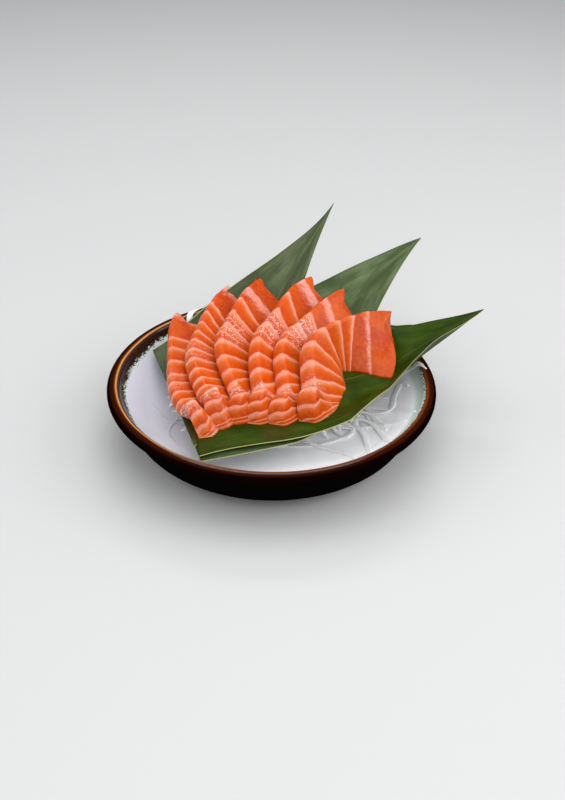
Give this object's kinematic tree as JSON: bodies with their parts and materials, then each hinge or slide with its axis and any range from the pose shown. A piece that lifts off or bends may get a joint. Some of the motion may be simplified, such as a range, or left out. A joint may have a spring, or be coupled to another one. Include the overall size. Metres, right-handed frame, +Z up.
{
  "type": "sashimi plate",
  "caption": "Deep round dish of salmon sashimi: thick slices leaning on each other over bamboo leaves and shredded daikon.",
  "frame": {"origin": "middle of the dish's flat foot, on the surface it stands on", "axes": "+Z up along the dish's axis, -Y towards the diner, the salmon's cut faces turned to +X"},
  "size_m": [0.209, 0.2091, 0.0869],
  "materials": {
    "dish_glaze": "glossy pale lilac-white glaze inside, dark brown lip with a thin ochre line, near-black satin outside",
    "daikon": "wet translucent white shreds of radish",
    "bamboo_leaf_dull": "dull grey-green leaf with fine parallel veins",
    "bamboo_leaf": "fresh green leaf with fine parallel veins, satin",
    "salmon": "wet raw salmon, orange flakes between soft pinkish-white lines of fat"
  },
  "bodies": {
    "root": {"dish": "dish_glaze", "daikon_shreds": "daikon", "leaf_back": "bamboo_leaf_dull", "leaf_middle": "bamboo_leaf_dull", "leaf_front": "bamboo_leaf", "leaf_under": "bamboo_leaf_dull", "salmon_slice_1": "salmon", "salmon_slice_2": "salmon", "salmon_slice_3": "salmon", "salmon_slice_4": "salmon", "salmon_slice_5": "salmon", "salmon_slice_6": "salmon"}
  },
  "joints": []
}
